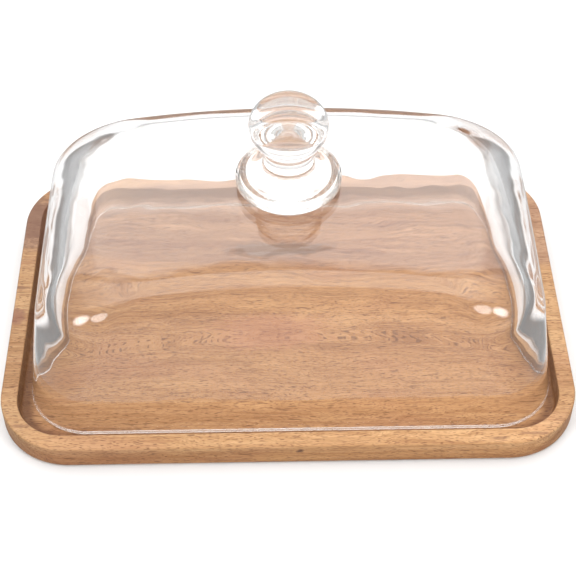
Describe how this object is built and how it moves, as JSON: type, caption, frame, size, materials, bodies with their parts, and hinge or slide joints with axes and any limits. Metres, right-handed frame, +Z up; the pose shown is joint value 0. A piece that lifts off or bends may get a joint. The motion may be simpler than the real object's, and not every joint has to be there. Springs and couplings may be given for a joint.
{
  "type": "cheese dome",
  "caption": "Rectangular clear glass cheese cover with a ball knob, resting in the well of a rounded wooden serving tray.",
  "frame": {"origin": "on the table, under the middle of the tray", "axes": "+X along the tray's length, +Y towards the back, +Z up; the front faces -Y"},
  "size_m": [0.25, 0.168, 0.131],
  "materials": {
    "acacia_wood": "oiled, satin, grain along the length",
    "clear_glass": "clear, polished",
    "knob_glass": "clear, polished, solid",
    "clear_bond": "clear cured adhesive"
  },
  "bodies": {
    "tray": {"wooden_tray": "acacia_wood"},
    "cover": {"glass_cover": "clear_glass", "knob_bond_film": "clear_bond", "glass_knob": "knob_glass"}
  },
  "joints": [
    {"name": "cover_lift", "type": "slide", "parent": "tray", "child": "cover", "axis": [0, 0, 1], "range_m": [0, 0.15]}
  ]
}
